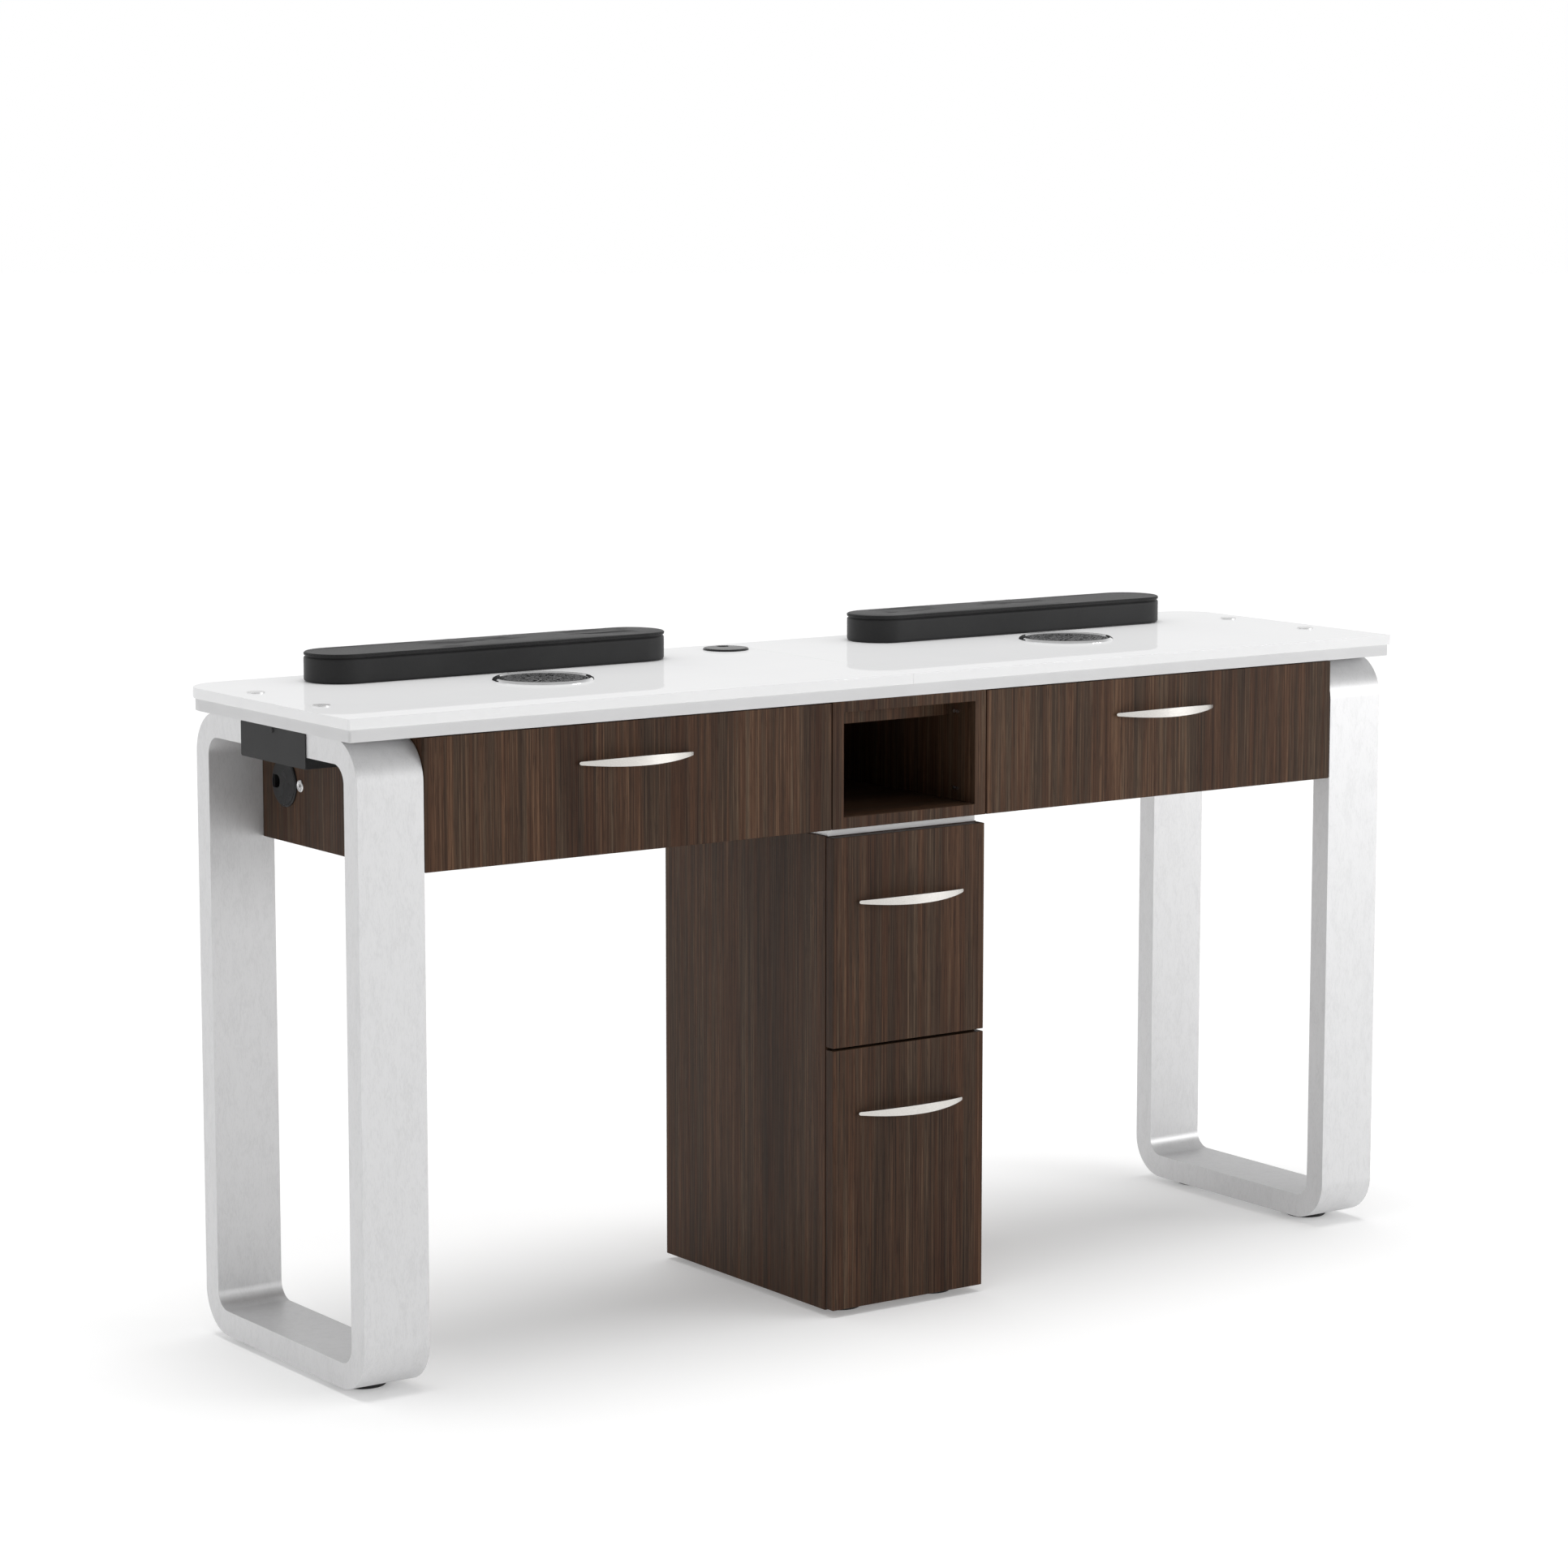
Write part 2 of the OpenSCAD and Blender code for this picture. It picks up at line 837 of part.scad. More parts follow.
end_panel(RIGHT);  // end_panel_right
back_panel();
floor_panel();
cubby_frame();
cubby_side(LEFT);  // cubby_side_left
cubby_side(RIGHT);  // cubby_side_right
cubby_rail();
cubby_screws();
side_bolt();
ped_side(LEFT);  // ped_side_left
ped_side(RIGHT);  // ped_side_right
ped_top();
ped_floor();
ped_back();
spacer_plate();
runner_rails();
drawer_front(-apron_x, -cubby_half - front_gap, apron_z, board_z - front_gap);  // left_drawer_front
drawer_tray(left_bay, wide_tray_z, wide_tray_h, wide_tray_len);  // left_drawer_tray
drawer_pull(-(apron_x + cubby_half) / 2, wide_pull_z);  // left_drawer_pull
drawer_runners(left_bay, wide_rail_z, wide_runner);  // left_drawer_runners
drawer_front(cubby_half + front_gap, apron_x, apron_z, board_z - front_gap);  // right_drawer_front
drawer_tray(right_bay, wide_tray_z, wide_tray_h, wide_tray_len);  // right_drawer_tray
drawer_pull((apron_x + cubby_half) / 2, wide_pull_z);  // right_drawer_pull
drawer_runners(right_bay, wide_rail_z, wide_runner);  // right_drawer_runners
drawer_front(-ped_half, ped_half, upper_front_z, ped_front_top_z);  // upper_drawer_front
drawer_tray(ped_bay, upper_tray_z, upper_tray_h, deep_tray_len);  // upper_drawer_tray
drawer_pull(0, ped_front_top_z - 77.3);  // upper_drawer_pull
drawer_runners(ped_bay, upper_tray_z + 60, deep_runner);  // upper_drawer_runners
drawer_front(-ped_half, ped_half, lower_front_z, ped_split_z - front_gap);  // lower_drawer_front
drawer_tray(ped_bay, lower_tray_z, lower_tray_h, deep_tray_len);  // lower_drawer_tray
drawer_pull(0, ped_split_z - 78.8);  // lower_drawer_pull
drawer_runners(ped_bay, lower_tray_z + 60, deep_runner);  // lower_drawer_runners
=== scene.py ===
"""Looks of a double manicure table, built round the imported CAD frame.

Lengths are in metres, with X along the table, its back towards +Y and the floor at Z 0.
"""

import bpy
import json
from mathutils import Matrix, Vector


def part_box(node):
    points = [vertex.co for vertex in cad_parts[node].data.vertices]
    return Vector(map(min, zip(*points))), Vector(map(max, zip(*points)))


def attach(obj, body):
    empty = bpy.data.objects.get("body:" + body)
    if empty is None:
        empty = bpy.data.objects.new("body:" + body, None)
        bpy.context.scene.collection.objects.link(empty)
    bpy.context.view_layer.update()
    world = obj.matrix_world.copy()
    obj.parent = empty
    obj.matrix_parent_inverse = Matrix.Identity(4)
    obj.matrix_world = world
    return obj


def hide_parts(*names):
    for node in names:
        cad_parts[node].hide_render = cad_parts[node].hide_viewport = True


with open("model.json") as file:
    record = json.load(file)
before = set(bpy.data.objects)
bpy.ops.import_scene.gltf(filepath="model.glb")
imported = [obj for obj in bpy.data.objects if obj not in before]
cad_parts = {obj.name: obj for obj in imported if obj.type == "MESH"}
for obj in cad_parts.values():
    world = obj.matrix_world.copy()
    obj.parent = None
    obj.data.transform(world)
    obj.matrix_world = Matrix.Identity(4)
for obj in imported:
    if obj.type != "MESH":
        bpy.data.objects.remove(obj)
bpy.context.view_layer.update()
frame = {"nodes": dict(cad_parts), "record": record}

import json
import math
import random

import bmesh
import bpy
from mathutils import Vector

NODES = frame["nodes"]
SIDES = ("left", "right")
DRAWERS = ("left", "right", "upper", "lower")
MM = 0.001


# ---------------------------------------------------------------- material nodes

# Sockets of the Mix node: its colour pair and their result, its vector pair and their result.
MIX_A, MIX_B, MIX_RESULT = 6, 7, 2
MIX_VECTOR_A, MIX_VECTOR_B, MIX_VECTOR_RESULT = 4, 5, 1


class Mat:
    """A Principled material with object coordinates, and short calls for its nodes."""

    def __init__(self, name, **sockets):
        self.mat = bpy.data.materials.new(name)
        self.mat.use_nodes = True
        self.tree = self.mat.node_tree
        self.bsdf = self.tree.nodes["Principled BSDF"]
        self.coord = self.tree.nodes.new("ShaderNodeTexCoord").outputs["Object"]
        for key, value in sockets.items():
            self.bsdf.inputs[key.replace("_", " ")].default_value = value

    def link(self, a, b):
        self.tree.links.new(a, b)

    def node(self, kind, **values):
        node = self.tree.nodes.new("ShaderNode" + kind)
        for key, value in values.items():
            setattr(node, key, value)
        return node

    def scaled(self, scale, shift=(0, 0, 0), turn=(0, 0, 0), source=None):
        """Coordinates multiplied by scale, one number or one for each axis, after a turn."""
        node = self.node("Mapping", vector_type="POINT")
        node.inputs["Scale"].default_value = scale if isinstance(scale, tuple) else (scale,) * 3
        node.inputs["Location"].default_value = shift
        node.inputs["Rotation"].default_value = turn
        self.link(source or self.coord, node.inputs["Vector"])
        return node.outputs["Vector"]

    def noise(self, scale, detail=2.0, rough=0.5, warp=0.0, **mapping):
        """Noise with about this many blotches to a metre."""
        node = self.node("TexNoise")
        wanted = (("Scale", 1.0), ("Detail", detail), ("Roughness", rough), ("Distortion", warp))
        for key, value in wanted:
            node.inputs[key].default_value = value
        self.link(self.scaled(scale, **mapping), node.inputs["Vector"])
        return node.outputs["Fac"]

    def cells(self, scale, feature="F1", **mapping):
        """Distance to the point, or to the edge, of cells of which so many go in a metre."""
        node = self.node("TexVoronoi", feature=feature)
        node.inputs["Scale"].default_value = 1.0
        self.link(self.scaled(scale, **mapping), node.inputs["Vector"])
        return node.outputs["Distance"]

    def ramp(self, fac, *stops):
        """Colour ramp with stops of (place, colour or grey)."""
        node = self.node("ValToRGB")
        points = node.color_ramp.elements
        while len(points) < len(stops):
            points.new(0.5)
        for point, (place, colour) in zip(points, stops):
            point.position = place
            grey = isinstance(colour, (int, float))
            point.color = (colour, colour, colour, 1) if grey else (*colour, 1)
        self.link(fac, node.inputs["Fac"])
        return node.outputs["Color"]

    def mix(self, fac, a, b):
        """Colour a towards b by fac. Each is a socket or a fixed value."""
        node = self.node("Mix", data_type="RGBA")
        self.feed(node.inputs["Factor"], fac)
        self.feed(node.inputs[MIX_A], a)
        self.feed(node.inputs[MIX_B], b)
        return node.outputs[MIX_RESULT]

    def maths(self, operation, a, b=0.5):
        node = self.node("Math", operation=operation)
        for socket, value in zip(node.inputs, (a, b)):
            self.feed(socket, value)
        return node.outputs["Value"]

    def feed(self, socket, value):
        if isinstance(value, bpy.types.NodeSocket):
            self.link(value, socket)
        elif isinstance(value, tuple):
            socket.default_value = (*value, 1) if len(value) == 3 else value
        else:
            socket.default_value = value

    def spread(self, fac, low, high):
        """A value between low and high as fac goes from 0 to 1."""
        node = self.node("MapRange")
        for key, value in (("To Min", low), ("To Max", high)):
            node.inputs[key].default_value = value
        self.link(fac, node.inputs["Value"])
        return node.outputs["Result"]

    def bump(self, height, distance, strength):
        node = self.node("Bump")
        node.inputs["Strength"].default_value = strength
        node.inputs["Distance"].default_value = distance
        self.link(height, node.inputs["Height"])
        return node.outputs["Normal"]

    def finish(self, colour, rough, normal=None):
        for key, value in (("Base Color", colour), ("Roughness", rough), ("Normal", normal)):
            if value is not None:
                self.link(value, self.bsdf.inputs[key])
        return self.mat


def stone():
    """Polished white stone with a very fine, faint grain and an even, weak mirror sheen."""
    m = Mat("white_stone", Metallic=0.14, Specular_IOR_Level=0.0)
    cloud = m.noise(5, 4, 0.6)
    grit = m.noise(900)
    fleck = m.cells(260)
    base = m.ramp(cloud, (0.3, (0.845, 0.847, 0.852)), (0.7, (0.87, 0.87, 0.873)))
    dots = m.ramp(fleck, (0.04, 0.0), (0.12, 1.0))
    colour = m.mix(0.05, base, m.mix(dots, (0.6, 0.6, 0.61), (0.9, 0.9, 0.9)))
    rough = m.spread(cloud, 0.012, 0.025)
    return m.finish(colour, rough, m.bump(grit, 0.00001, 0.1))


def laminate(name, low, high):
    """Pale laminate with a fine pebble in its surface."""
    m = Mat(name, Specular_IOR_Level=0.35)
    cloud = m.noise(14, 3)
    pebble = m.noise(1400)
    colour = m.ramp(cloud, (0.3, low), (0.7, high))
    rough = m.spread(pebble, 0.4, 0.55)
    return m.finish(colour, rough, m.bump(pebble, 0.00003, 0.3))


def walnut():
    """Dark walnut laminate. The grain stands upright, and runs along X on level faces."""
    m = Mat("walnut_laminate", Specular_IOR_Level=0.1)
    level = m.node("SeparateXYZ")
    m.link(m.node("NewGeometry").outputs["True Normal"], level.inputs["Vector"])
    is_level = m.maths("GREATER_THAN", m.maths("ABSOLUTE", level.outputs["Z"]), 0.5)
    along_x = m.scaled(1, turn=(0, math.radians(90), 0))
    place = m.node("Mix", data_type="VECTOR")
    m.link(is_level, place.inputs["Factor"])
    m.link(m.coord, place.inputs[MIX_VECTOR_A])
    m.link(along_x, place.inputs[MIX_VECTOR_B])
    place = place.outputs[MIX_VECTOR_RESULT]

    def grain(across, along, shift=0, **settings):
        return m.noise((across, across, along), shift=(shift,) * 3, source=place, **settings)

    board = grain(8, 0.6, detail=2, warp=0.8)
    band = grain(85, 1.8, detail=3, rough=0.6, warp=0.3)
    streak = grain(420, 4, detail=3, rough=0.6, warp=0.15)
    line = grain(900, 9, detail=2, rough=0.6)
    pore = grain(1250, 34, detail=1, rough=0.5)
    hue = grain(130, 2.2, shift=4, detail=3, rough=0.6)
    tone = m.maths("MULTIPLY", board, 0.17)
    for layer, weight in ((band, 0.22), (streak, 0.33), (line, 0.28)):
        tone = m.maths("ADD", tone, m.maths("MULTIPLY", layer, weight))
    warm = m.ramp(
        tone,
        (0.40, (0.030, 0.0130, 0.0074)),
        (0.47, (0.056, 0.0262, 0.0144)),
        (0.53, (0.076, 0.0372, 0.0208)),
        (0.60, (0.132, 0.0720, 0.0410)),
    )
    cool = m.ramp(
        tone,
        (0.40, (0.024, 0.0135, 0.0088)),
        (0.47, (0.044, 0.0262, 0.0168)),
        (0.53, (0.062, 0.0382, 0.0244)),
        (0.60, (0.108, 0.0700, 0.0440)),
    )
    colour = m.mix(m.ramp(hue, (0.40, 0.0), (0.60, 1.0)), warm, cool)
    dark = m.ramp(pore, (0.32, 1.0), (0.42, 0.0))
    colour = m.mix(m.maths("MULTIPLY", dark, 0.55), colour, (0.015, 0.0080, 0.0050))
    rough = m.spread(streak, 0.38, 0.52)
    return m.finish(colour, rough, m.bump(m.mix(0.5, pore, line), 0.00006, 0.35))


def brushed(name, tint, rough, metallic=1.0):
    """Silver metal with short upright brush marks that lie in patches."""
    m = Mat(name, Metallic=metallic, Specular_IOR_Level=0.3)
    mark = m.noise((1100, 1100, 190), 3, 0.65, 0.3)
    patch = m.noise((90, 90, 34), 5, 0.7, 0.8)
    broad = m.noise((6, 6, 3))
    both = m.mix(0.5, mark, patch)
    dark, pale = (tuple(c * part for c in tint) for part in (0.922, 1.018))
    colour = m.ramp(both, (0.40, dark), (0.52, tint), (0.66, pale))
    fleck = m.spread(both, -0.042, 0.042)
    shine = m.maths("ADD", fleck, m.spread(broad, rough - 0.03, rough + 0.03))
    return m.finish(colour, shine, m.bump(both, 0.00003, 0.18))


def polished(name, tint, rough):
    """Bright metal with faint turning marks and a few fine scratches."""
    m = Mat(name, Metallic=1.0)
    cloud = m.noise(160, 3)
    fine = m.noise((1500, 300, 1500))
    colour = m.ramp(cloud, (0.3, tuple(c * 0.94 for c in tint)), (0.7, tint))
    shine = m.spread(cloud, rough * 0.7, rough * 1.4)
    return m.finish(colour, shine, m.bump(fine, 0.00001, 0.2))


def satin_pull():
    """Satin nickel, with brush marks along the pull."""
    m = Mat("satin_nickel", Metallic=1.0)
    along = m.noise((60, 2600, 2600), 3, 0.6)
    cloud = m.noise(60)
    colour = m.ramp(along, (0.3, (0.56, 0.54, 0.51)), (0.7, (0.70, 0.68, 0.65)))
    rough = m.maths("ADD", m.spread(along, -0.04, 0.04), m.spread(cloud, 0.21, 0.27))
    return m.finish(colour, rough, m.bump(along, 0.00001, 0.3))


def coated(name, low, high, rough, grain, depth, specular=0.45):
    """Painted metal, moulded plastic or rubber, with a fine orange peel."""
    m = Mat(name, Specular_IOR_Level=specular)
    peel = m.noise(grain, 3, 0.55)
    cloud = m.noise(22)
    colour = m.ramp(m.mix(0.5, peel, cloud), (0.38, low), (0.62, high))
    return m.finish(colour, m.spread(cloud, rough - 0.05, rough + 0.05), m.bump(peel, depth, 0.5))


def foam():
    """Open-cell filter foam, with painted shade in the pits of its cells."""
    m = Mat("filter_foam", Specular_IOR_Level=0.2)
    cell = m.cells(800)
    # Painted shade: the pits of the cells are coloured darker than the strands around them.
    colour = m.ramp(cell, (0.1, (0.02, 0.021, 0.022)), (0.6, (0.07, 0.072, 0.076)))
    return m.finish(colour, m.spread(cell, 0.75, 0.95), m.bump(cell, 0.0006, 0.8))


def leatherette():
    """Charcoal leatherette: pebbled grain of cells with fine creases between them, with painted
    shade in the creases.
    """
    m = Mat(
        "charcoal_leatherette",
        Specular_IOR_Level=0.16,
        Sheen_Weight=0.04,
        Sheen_Roughness=0.45,
    )
    warp = m.noise(420)
    pebble = m.cells(780, "DISTANCE_TO_EDGE")
    small = m.cells(1500, "DISTANCE_TO_EDGE", shift=(3, 1, 2))
    crease = m.ramp(pebble, (0.0, 0.0), (0.16, 1.0))
    fine = m.ramp(small, (0.0, 0.0), (0.2, 1.0))
    height = m.mix(0.35, m.mix(0.3, crease, fine), warp)
    cloud = m.noise(16, 4, 0.6)
    face = m.ramp(cloud, (0.35, (0.036, 0.036, 0.0365)), (0.65, (0.047, 0.047, 0.0475)))
    face = m.mix(0.75, (0.021, 0.021, 0.0215), face)
    # Painted shade: a darker colour laid into the creases between the pebbles.
    crease_shade = m.mix(0.5, face, (0.014, 0.014, 0.0145))
    colour = m.mix(m.maths("MULTIPLY", crease, 0.35), crease_shade, face)
    rough = m.maths("SUBTRACT", m.spread(cloud, 0.46, 0.54), m.maths("MULTIPLY", crease, 0.05))
    return m.finish(colour, rough, m.bump(height, 0.00012, 0.45))


def thread():
    """Twisted black sewing thread."""
    m = Mat("black_thread", Specular_IOR_Level=0.3, Sheen_Weight=0.2)
    twist = m.noise(2600)
    colour = m.ramp(twist, (0.35, (0.006, 0.006, 0.0062)), (0.65, (0.016, 0.016, 0.0165)))
    return m.finish(colour, m.spread(twist, 0.55, 0.75), m.bump(twist, 0.0001, 0.6))


def floor_paint():
    """Plain white studio floor, lit a little from below so that its shadows stay pale."""
    m = Mat(
        "studio_floor",
        Specular_IOR_Level=0.0,
        Emission_Color=(1, 1, 1, 1),
        Emission_Strength=0.235,
    )
    cloud = m.noise(0.6)
    colour = m.ramp(cloud, (0.3, (0.825, 0.825, 0.825)), (0.7, (0.835, 0.835, 0.835)))
    return m.finish(colour, m.spread(cloud, 0.85, 0.95))


FINISH = {
    "stone": stone(),
    "grey_board": laminate("grey_board", (0.645, 0.645, 0.65), (0.68, 0.68, 0.685)),
    "spacer_board": laminate("spacer_board", (0.91, 0.91, 0.91), (0.94, 0.94, 0.94)),
    "walnut": walnut(),
    "brushed_silver": brushed("brushed_silver", (0.68, 0.68, 0.685), 0.42, metallic=0.5),
    "satin_nickel": satin_pull(),
    "polished_steel": polished("polished_steel", (0.80, 0.80, 0.80), 0.28),
    "chrome_trim": polished("chrome_trim", (0.86, 0.86, 0.865), 0.07),
    "zinc_steel": brushed("zinc_steel", (0.62, 0.63, 0.66), 0.34),
    "dark_grille": polished("dark_grille", (0.33, 0.33, 0.335), 0.24),
    "filter_foam": foam(),
    "black_plastic": coated(
        "black_plastic",
        (0.008, 0.008, 0.0083), (0.014, 0.014, 0.0144),
        rough=0.28, grain=1500, depth=0.00003, specular=0.3,
    ),
    "black_rubber": coated(
        "black_rubber",
        (0.010, 0.010, 0.010), (0.019, 0.019, 0.019),
        rough=0.6, grain=900, depth=0.00008, specular=0.3,
    ),
    "black_steel": coated(
        "black_steel",
        (0.031, 0.031, 0.0315), (0.040, 0.040, 0.0405),
        rough=0.5, grain=1100, depth=0.00005, specular=0.12,
    ),
    "black_leatherette": leatherette(),
    "tray_steel": coated(
        "tray_steel",
        (0.50, 0.51, 0.52), (0.56, 0.57, 0.58),
        rough=0.42, grain=1200, depth=0.00005,
    ),
}
MAT_THREAD = thread()

for part in frame["record"]["subparts"]:
    node = NODES[part["node"]]
    for place in node.material_slots:
        place.material = FINISH[part["material_slot"]]


# ---------------------------------------------------------------- softened edges

JOIN_POINTS = 0.00001
SAME_PLANE = math.radians(0.2)
WALNUT_PANELS = ("end_panel", "cubby_frame", "cubby_side", "cubby_rail", "ped_")


def soften(names, width, segments=2, angle=30):
    """Rounds the sharp edges of CAD nodes a little, as a real edge is, with modifiers alone."""
    for name in names:
        o = NODES[name]
        weld = o.modifiers.new("weld", "WELD")
        weld.merge_threshold = JOIN_POINTS
        flat = o.modifiers.new("flat", "DECIMATE")
        flat.decimate_type = "DISSOLVE"
        flat.angle_limit = SAME_PLANE
        edge = o.modifiers.new("edge", "BEVEL")
        edge.width = width
        edge.segments = segments
        edge.loop_slide = False
        edge.limit_method = "ANGLE"
        edge.angle_limit = math.radians(angle)
        normals = o.modifiers.new("normals", "WEIGHTED_NORMAL")
        normals.keep_sharp = False
        normals.weight = 60


soften(["slab_left", "slab_right"], 1.2 * MM, segments=3)
soften(["top_board", "spacer_plate"], 0.6 * MM)
soften([n for n in NODES if n.startswith(WALNUT_PANELS)], 0.5 * MM)
soften([d + "_drawer_front" for d in DRAWERS], 0.7 * MM)
soften(["back_panel", "floor_panel", "wiring_box", "wiring_box_cover"], 0.4 * MM)
soften([d + "_drawer_tray" for d in DRAWERS], 0.4 * MM)
soften(["leg_ring_left", "leg_ring_right"], 0.8 * MM, angle=50)


# ---------------------------------------------------------------- mesh helpers

def mesh_object(name, bm, material, smooth=True):
    mesh = bpy.data.meshes.new(name)
    bm.to_mesh(mesh)
    bm.free()
    mesh.materials.append(material)
    mesh.polygons.foreach_set("use_smooth", [smooth] * len(mesh.polygons))
    o = bpy.data.objects.new(name, mesh)
    bpy.context.scene.collection.objects.link(o)
    return o


def grid_faces(bm, rows, closed=True):
    """Quads between neighbouring rows of vertices."""
    for a, b in zip(rows, rows[1:]):
        n = len(a)
        for i in range(n if closed else n - 1):
            j = (i + 1) % n
            bm.faces.new((a[i], a[j], b[j], b[i]))


# ---------------------------------------------------------------- arm-rest pads

PAD_STEP = 0.0042       # between neighbouring points round the pad
BASE_GAP = 0.0010       # from the stone up to the cushion, filled by its base board
SEAM_DROP = 0.0047      # of the seam below the cushion's top
ROOM = 0.0012           # that the cushion starts shorter, and narrower, than the pad
HEADROOM = 0.0008       # that it starts lower
MOST_MOVE = 0.0009      # of any point in the simulation
SIM_FRAMES = 20
HELD_BELOW = 0.003      # rows that stay still in the simulation
SHOULDER_ROWS = 4       # above the seam, which stay still too and are finely divided
FINE, COARSE = 5, 2     # parts between rows, near the seam and elsewhere
PUCKERS = ((61, 0.00012), (113, 0.00009))   # along the seam: how many, and how deep
WAVES = ((7, 0.00016), (13, 0.0001))        # in the side, likewise
PUCKER_REACH = 0.9      # in rows, like the next two
SEAM_DEPTH, SEAM_REACH = 0.0022, 0.42
STITCH_DEPTH, STITCH_REACH = 0.0004, 0.3
STITCH_ROW = 2.0        # rows above the seam
STITCH_PITCH = 0.0044
STITCH_PART = 0.68      # of the pitch that the thread covers
THREAD_R = 0.00042
THREAD_SIDES = 6
# Place along a stitch, its radius and its lift, both in thread radii.
STITCH_SHAPE = (
    (0.0, 0.35, -0.5),
    (0.14, 0.85, 0.3),
    (0.5, 1.0, 0.62),
    (0.86, 0.85, 0.3),
    (1.0, 0.35, -0.5),
)


def stadium(length, width, inset, count_line, count_end):
    """Points round a stadium that is inset from its full size, anticlockwise."""
    half = (length - width) / 2
    r = width / 2 - inset
    points = []
    for end, first in ((1, -math.pi / 2), (-1, math.pi / 2)):
        for k in range(count_line):
            points.append((end * (2 * half * k / count_line - half), -end * r))
        for k in range(count_end):
            a = first + math.pi * k / count_end
            points.append((end * half + r * math.cos(a), r * math.sin(a)))
    return points


def pad_rows(width, height):
    """Inset and height of each row, from the middle of the underside round to that of the top."""
    middle = width / 2 * 0.995
    flat_rows, side_rows = 9, 8
    foot, shoulder = 0.0020, 0.0019
    seam_z = height - SEAM_DROP
    rows = [(middle * (1 - k / flat_rows), 0.0) for k in range(flat_rows)]
    rows += [(0.0018, 0.0), (0.0004, 0.0006), (0.0, foot)]
    rows += [(0.0, foot + (seam_z - foot) * k / side_rows) for k in range(1, side_rows)]
    rows += [(0.0, seam_z), (0.0, height - 0.0031), (0.0001, height - 0.0017)]
    rows += [(0.0007, height - 0.0006), (shoulder, height)]
    inward = (middle - shoulder) / flat_rows
    rows += [(shoulder + inward * k, height) for k in range(1, flat_rows + 1)]
    return rows


def simulate(rest, spec, seam):
    """The rows' points after air pressure has filled the cover as cloth for some frames."""
    bm = bmesh.new()
    rows = [[bm.verts.new(p) for p in row] for row in rest]
    grid_faces(bm, rows)
    for row in (rows[0], rows[-1]):
        bm.faces.new(row)
    bmesh.ops.recalc_face_normals(bm, faces=bm.faces)
    soft = mesh_object("pad_simulation", bm, FINISH["black_leatherette"])
    held = soft.vertex_groups.new(name="held")
    n = len(rest[0])
    for k, (_, z) in enumerate(spec):
        if z < HELD_BELOW or seam <= k <= seam + SHOULDER_ROWS:
            held.add(list(range(k * n, (k + 1) * n)), 1.0, "REPLACE")
    cloth = soft.modifiers.new("cloth", "CLOTH")
    s = cloth.settings
    s.quality = 6
    s.mass = 0.25
    s.tension_stiffness = s.compression_stiffness = 25
    s.shear_stiffness = 12
    s.bending_stiffness = 6
    s.use_pressure = True
    s.uniform_pressure_force = 5
    s.vertex_group_mass = "held"
    s.effector_weights.gravity = 0
    cloth.collision_settings.use_collision = False
    cloth.point_cache.frame_start, cloth.point_cache.frame_end = 1, SIM_FRAMES
    for f in range(1, SIM_FRAMES + 1):
        bpy.context.scene.frame_set(f)
    done = soft.evaluated_get(bpy.context.evaluated_depsgraph_get())
    points = [v.co.copy() for v in done.data.vertices]
    bpy.context.scene.frame_set(1)
    bpy.data.objects.remove(soft)
    return [points[k * n:(k + 1) * n] for k in range(len(rest))]


def build_pad(length, width, height):
    """Rows of points of a stuffed pad about its own middle, and which row is its seam."""
    count_line = int(round((length - width) / PAD_STEP))
    count_end = int(round(math.pi * width / 2 / PAD_STEP))
    spec = pad_rows(width, height)
    seam = spec.index((0.0, height - SEAM_DROP))
    rest = [
        [Vector((x, y, z)) for x, y in stadium(length, width, inset, count_line, count_end)]
        for inset, z in spec
    ]
    out = []
    for row, swollen in zip(rest, simulate(rest, spec, seam)):
        moves = [q - p for p, q in zip(row, swollen)]
        out.append([p + m * MOST_MOVE / (MOST_MOVE + m.length) for p, m in zip(row, moves)])
    return out, seam


def between(rows, k, t):
    """Point on a smooth curve through the rows at row k plus t."""
    last = len(rows) - 1
    a, b, c, d = (rows[min(max(k + j, 0), last)] for j in (-1, 0, 1, 2))
    out = []
    for p0, p1, p2, p3 in zip(a, b, c, d):
        slope1, slope2 = (p2 - p0) * 0.5, (p3 - p1) * 0.5
        t2, t3 = t * t, t * t * t
        start = p1 * (2 * t3 - 3 * t2 + 1) + slope1 * (t3 - 2 * t2 + t)
        end = p2 * (3 * t2 - 2 * t3) + slope2 * (t3 - t2)
        out.append(start + end)
    return out


def near(place, middle, reach):
    """1 at a row, and less away from it."""
    return math.exp(-((place - middle) / reach) ** 2)


def ripple(waves, angle):
    """Height of some waves, each a count round the pad, a depth and a phase."""
    return sum(depth * math.sin(count * angle + phase) for count, depth, phase in waves)


